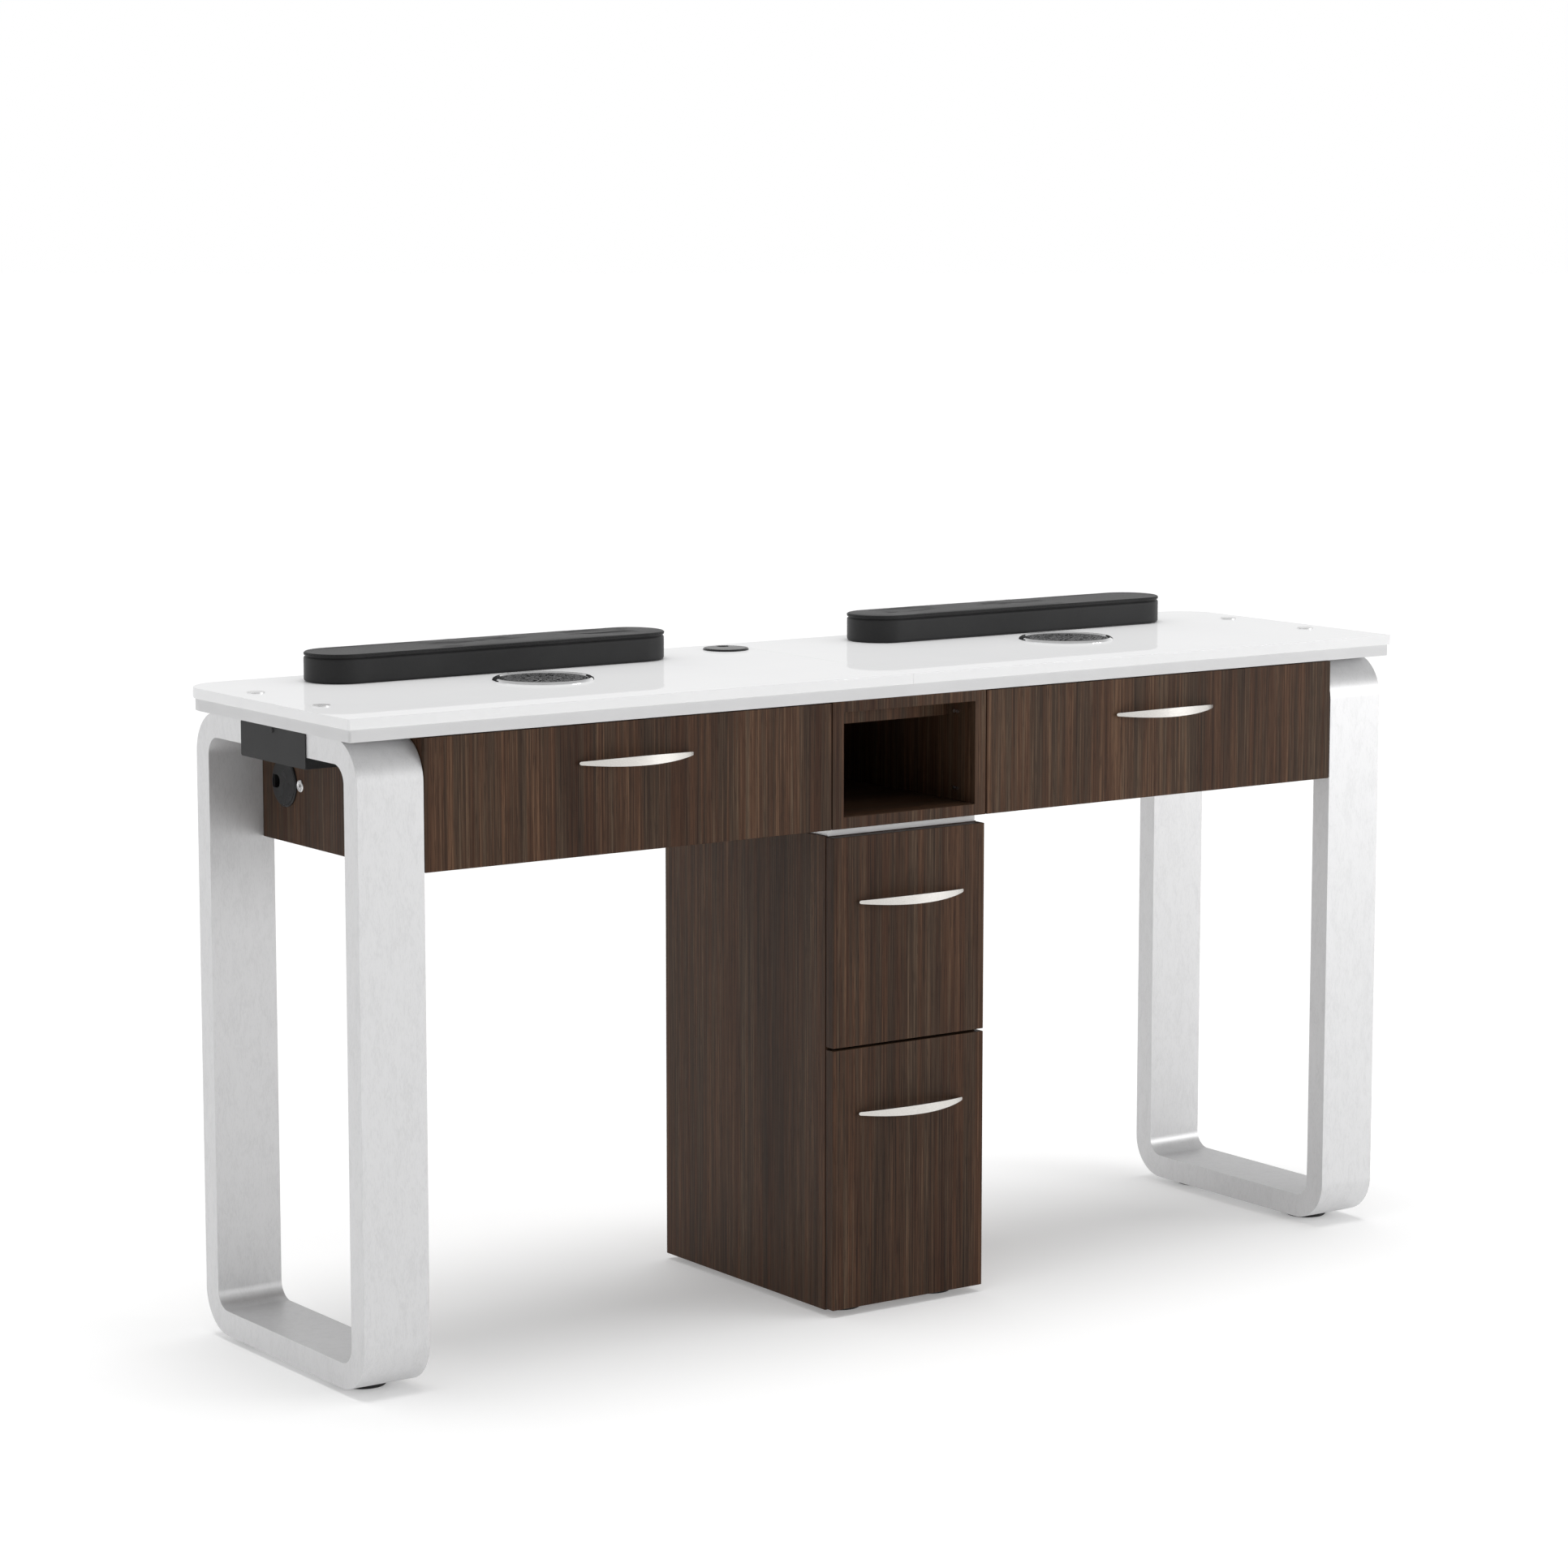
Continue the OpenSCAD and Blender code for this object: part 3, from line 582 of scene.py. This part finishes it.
def pad_piece(side, rows, seam, length, width):
    """Cushion with a groove and puckers along its seam and slow waves in its side, its
    stitches, and the board under it."""
    lo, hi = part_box("pad_" + side)
    centre = (lo + hi) / 2
    flip = -1 if side == "right" else 1
    rand = random.Random(11 if side == "left" else 12)
    fine = []
    for k in range(len(rows) - 1):
        parts = FINE if seam - 1 <= k <= seam + SHOULDER_ROWS else COARSE
        for j in range(parts):
            fine.append((k + j / parts, between(rows, k, j / parts)))
    fine.append((len(rows) - 1, rows[-1]))
    n = len(rows[0])
    puckers = [(count, depth, rand.uniform(0, 6.28)) for count, depth in PUCKERS]
    waves = [(count, depth, rand.uniform(0, 6.28)) for count, depth in WAVES]
    stitch_place = seam + STITCH_ROW
    bm = bmesh.new()
    made = []
    base_z = lo.z + BASE_GAP
    for place, line in fine:
        row = []
        for i, p in enumerate(line):
            q = line[(i + 1) % n] - line[i - 1]
            outward = Vector((q.y, -q.x, 0)).normalized()
            angle = math.tau * i / n
            out = ripple(puckers, angle) * near(place, seam, PUCKER_REACH)
            if 0 < place < seam:
                out += ripple(waves, angle)
            out -= SEAM_DEPTH * near(place, seam, SEAM_REACH)
            out -= STITCH_DEPTH * near(place, stitch_place, STITCH_REACH)
            p = p + outward * out
            row.append(bm.verts.new((centre.x + flip * p.x, centre.y + p.y, base_z + p.z)))
        made.append(row)
    grid_faces(bm, made)
    for ends in (made[0], made[-1]):
        bm.faces.new(ends)
    bmesh.ops.recalc_face_normals(bm, faces=bm.faces)
    body = mesh_object(f"pad_{side}_cushion", bm, FINISH["black_leatherette"])
    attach(body, "frame")
    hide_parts("pad_" + side)
    stitches(side, rows, stitch_place, centre, base_z, flip)
    pad_base(side, centre, lo, base_z, length, width)


def stitches(side, rows, place, centre, base_z, flip):
    """Topstitching just inside the seam: one short thread after another."""
    line = between(rows, int(place), place - int(place))
    n = len(line)
    points = [Vector((centre.x + flip * p.x, centre.y + p.y, base_z + p.z)) for p in line]
    steps = [(points[(i + 1) % n] - points[i]).length for i in range(n)]
    total = sum(steps)
    pitch = total / round(total / STITCH_PITCH)
    upright = Vector((0, 0, 1))
    bm = bmesh.new()

    def at(s):
        s %= total
        for i in range(n):
            if s <= steps[i]:
                return points[i].lerp(points[(i + 1) % n], s / steps[i])
            s -= steps[i]
        return points[0]

    s = 0.0
    while s < total - pitch / 2:
        a, b = at(s), at(s + pitch * STITCH_PART)
        along = (b - a).normalized()
        across = along.cross(upright).normalized()
        rings = []
        for t, r, lift in STITCH_SHAPE:
            c = a.lerp(b, t) + upright * THREAD_R * lift
            rings.append([
                bm.verts.new(c + (across * math.cos(w) + upright * math.sin(w)) * THREAD_R * r)
                for w in (math.tau * j / THREAD_SIDES for j in range(THREAD_SIDES))
            ])
        grid_faces(bm, rings)
        bm.faces.new(rings[0][::-1])
        bm.faces.new(rings[-1])
        s += pitch
    bmesh.ops.recalc_face_normals(bm, faces=bm.faces)
    o = mesh_object(f"pad_{side}_stitches", bm, MAT_THREAD)
    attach(o, "frame")


def pad_base(side, centre, lo, top_z, length, width):
    """Thin board under the cushion, set back from its outline."""
    rows = []
    bm = bmesh.new()
    low = lo.z + 0.00005
    inset, chamfer, overlap = 0.0020, 0.0003, 0.0004
    profile = ((inset + 2 * chamfer, low), (inset, low + chamfer), (inset, top_z + overlap))
    for inward, z in profile:
        outline = stadium(length, width, inward, count_line=24, count_end=32)
        rows.append([bm.verts.new((centre.x + x, centre.y + y, z)) for x, y in outline])
    grid_faces(bm, rows)
    bm.faces.new(rows[0][::-1])
    bm.faces.new(rows[-1])
    bmesh.ops.recalc_face_normals(bm, faces=bm.faces)
    o = mesh_object(f"pad_{side}_base", bm, FINISH["black_plastic"], smooth=False)
    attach(o, "frame")


pad_lo, pad_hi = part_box("pad_left")
pad_l, pad_w, pad_h = (high - low for low, high in zip(pad_lo, pad_hi))
cushion_rows, seam_row = build_pad(pad_l - ROOM, pad_w - ROOM, pad_h - BASE_GAP - HEADROOM)
for side in SIDES:
    pad_piece(side, cushion_rows, seam_row, pad_l, pad_w)


# ---------------------------------------------------------------- vent grilles

CHAMFER = 0.35          # height of a strip's chamfers, in half widths
CREST = 0.55            # its width on top, as a part of that below
THINNEST = 0.45         # its width at a thin end, likewise
TAPER_START = 0.12      # where along a half wave of thickness it starts


def scroll(cx, cy, r0, r1, start, turns, steps=26):
    """A spiral from radius r0 in to r1 about a centre."""
    out = []
    for k in range(steps + 1):
        t = k / steps
        r = r0 * (r1 / r0) ** t
        a = start + turns * math.tau * t
        out.append((cx + r * math.cos(a), cy + r * math.sin(a)))
    return out


def circle(r, steps=96):
    angles = [math.tau * k / steps for k in range(steps)]
    return [(r * math.cos(a), r * math.sin(a)) for a in angles]


def strip(bm, points, width, z_low, z_high, closed=False, taper=False):
    """A raised strip along a line, with chamfered upper edges. With taper, its ends are thinner."""
    n = len(points)
    rows = []
    for i, (x, y) in enumerate(points):
        a = points[(i - 1) % n] if closed or i else points[0]
        b = points[(i + 1) % n] if closed or i < n - 1 else points[-1]
        dx, dy = b[0] - a[0], b[1] - a[1]
        size = math.hypot(dx, dy) or 1
        nx, ny = -dy / size, dx / size
        w = width / 2
        if taper:
            along = TAPER_START + (1 - TAPER_START) * i / (n - 1)
            w *= THINNEST + (1 - THINNEST) * math.sin(math.pi * along)
        half = ((1, z_low), (1, z_high - CHAMFER * w), (CREST, z_high))
        profile = half + tuple((-f, z) for f, z in reversed(half))
        rows.append([bm.verts.new((x + nx * f * w, y + ny * f * w, z)) for f, z in profile])
    if closed:
        rows.append(rows[0])
    grid_faces(bm, rows)
    if not closed:
        bm.faces.new(rows[0])
        bm.faces.new(rows[-1][::-1])


# One sixteenth of the grille in mm: the line, its width, and whether its ends are thinner.
DRAWN_R = 49.7
LEAF = [(10, 0.6), (14, 1.0), (19, 0.7), (24, 0.5), (30, 0.6), (36, 0.9), (41, 1.6), (45.6, 3.0)]
BRANCH = [(21.0, 7.2), (24.5, 9.4), (28.5, 13.8), (33.5, 15.4), (39.0, 14.4), (43.0, 13.6)]
SIXTEENTH = (
    (scroll(29.5, 7.2, 7.6, 1.5, math.radians(-75), 1.45), 1.5, True),
    (scroll(39.2, 5.8, 4.9, 1.2, math.radians(200), -1.3), 1.3, True),
    (scroll(17.2, 3.4, 3.5, 0.9, math.radians(-110), 1.25), 1.2, True),
    (LEAF, 1.1, False),
    (BRANCH, 1.2, True),
    ([(9.0, 3.8), (12.5, 5.4), (16.5, 7.4), (20.5, 8.3)], 1.2, True),
    ([(34.5, 9.8), (38.0, 11.8), (41.8, 12.2), (45.0, 10.4)], 1.1, True),
    (scroll(22.6, 10.0, 2.4, 0.8, math.radians(30), 1.1, 14), 1.0, True),
)


def grille(side):
    """Filigree plate of scrolls in eight parts round a small rosette."""
    lo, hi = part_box("vent_grille_" + side)
    centre = (lo + hi) / 2
    low, high = lo.z + 0.0002, hi.z
    outer = (hi.x - lo.x) / 2 / MM
    bm = bmesh.new()

    def add(points, width, closed=False, taper=False, drop=0.0):
        in_metres = [(x * MM, y * MM) for x, y in points]
        strip(bm, in_metres, width * MM, low, high - drop * MM, closed, taper)

    rings = ((outer - 1.2, 2.4, 0.0), (outer - 4.2, 0.9, 0.3), (9.5, 1.3, 0.0), (4.2, 1.6, 0.0))
    for r, width, drop in rings:
        add(circle(r), width, closed=True, drop=drop)
    for k in range(8):
        turn = k * math.pi / 4
        for flip in (1, -1):
            for points, width, taper in SIXTEENTH:
                line = []
                for x, y in points:
                    x, y = x * outer / DRAWN_R, y * flip * outer / DRAWN_R
                    line.append((
                        x * math.cos(turn) - y * math.sin(turn),
                        x * math.sin(turn) + y * math.cos(turn),
                    ))
                add(line, width, taper=taper, drop=0.15)
    bmesh.ops.recalc_face_normals(bm, faces=bm.faces)
    bmesh.ops.translate(bm, verts=bm.verts, vec=(centre.x, centre.y, 0))
    o = mesh_object(f"vent_filigree_{side}", bm, FINISH["dark_grille"], smooth=False)
    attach(o, "frame")
    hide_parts("vent_grille_" + side)


for side in SIDES:
    grille(side)


# ---------------------------------------------------------------- floor, light, camera

FLOOR_HALF = 90.0
FLOOR_STEPS = 30
FRONT_LEFT = (-0.60, -0.80, 0.0)
CAM_PLACE = (-3.0146, -4.2204, 1.3300)
CAM_YAW, CAM_PITCH = math.radians(35.06), math.radians(7.96)
SENSOR_MM, LENS_MM = 36, 99.89


def floor():
    bm = bmesh.new()
    ticks = [2 * FLOOR_HALF * i / FLOOR_STEPS - FLOOR_HALF for i in range(FLOOR_STEPS + 1)]
    rows = [[bm.verts.new((x, y, 0)) for x in ticks] for y in ticks]
    grid_faces(bm, rows, closed=False)
    o = mesh_object("studio_floor", bm, floor_paint(), smooth=False)


def area(name, place, aim, size, power):
    """Soft box at a place, turned to where it aims."""
    light = bpy.data.lights.new(name, "AREA")
    light.shape = "RECTANGLE"
    light.size, light.size_y = size
    light.energy = power
    o = bpy.data.objects.new(name, light)
    o.location = place
    o.rotation_mode = "QUATERNION"
    o.rotation_quaternion = (Vector(aim) - Vector(place)).to_track_quat("-Z", "Y")
    bpy.context.scene.collection.objects.link(o)


def overhead(strength, spread):
    """Wide soft light straight down, which draws a crisp shadow only right under the table.
    It stays out of reflections, so that the polished top doesn't glare when seen from above."""
    light = bpy.data.lights.new("overhead", "SUN")
    light.energy = strength
    light.angle = math.radians(spread)
    o = bpy.data.objects.new("overhead", light)
    o.location = (0, 0, 3)
    o.visible_glossy = False
    bpy.context.scene.collection.objects.link(o)


def studio_world():
    """Surroundings that are white low down, greyer above, and dark towards the front left."""
    world = bpy.data.worlds.new("studio")
    world.use_nodes = True
    tree = world.node_tree
    back = tree.nodes["Background"]
    back.inputs["Color"].default_value = (1, 1, 1, 1)
    coord = tree.nodes.new("ShaderNodeTexCoord")

    def smooth_step(start, end, low):
        """Falls from 1 to low as its value goes from start to end."""
        node = tree.nodes.new("ShaderNodeMapRange")
        node.interpolation_type = "SMOOTHSTEP"
        wanted = (("From Min", start), ("From Max", end), ("To Min", 1.0), ("To Max", low))
        for key, value in wanted:
            node.inputs[key].default_value = value
        return node

    facing = tree.nodes.new("ShaderNodeVectorMath")
    facing.operation = "DOT_PRODUCT"
    facing.inputs[1].default_value = FRONT_LEFT
    fall = smooth_step(0.50, 0.97, 0.30)
    split = tree.nodes.new("ShaderNodeSeparateXYZ")
    rise = smooth_step(0.10, 0.60, 0.52)
    both = tree.nodes.new("ShaderNodeMath")
    both.operation = "MULTIPLY"
    tree.links.new(coord.outputs["Generated"], facing.inputs[0])
    tree.links.new(coord.outputs["Generated"], split.inputs[0])
    tree.links.new(split.outputs["Z"], rise.inputs["Value"])
    tree.links.new(facing.outputs["Value"], fall.inputs["Value"])
    tree.links.new(fall.outputs["Result"], both.inputs[0])
    tree.links.new(rise.outputs["Result"], both.inputs[1])
    tree.links.new(both.outputs["Value"], back.inputs["Strength"])
    bpy.context.scene.world = world


def camera():
    lens = bpy.data.cameras.new("camera")
    lens.sensor_width = SENSOR_MM
    lens.lens = LENS_MM
    lens.clip_start, lens.clip_end = 0.05, 60
    o = bpy.data.objects.new("camera", lens)
    o.location = CAM_PLACE
    o.rotation_euler = (math.pi / 2 - CAM_PITCH, 0, -CAM_YAW)
    bpy.context.scene.collection.objects.link(o)
    bpy.context.scene.camera = o


floor()
studio_world()
overhead(strength=1.4, spread=35)
area("right_front", (3.8, -3.6, 1.25), aim=(0.7, 0, 0.25), size=(2.4, 0.9), power=52)
camera()
bpy.context.scene.view_settings.view_transform = "Standard"
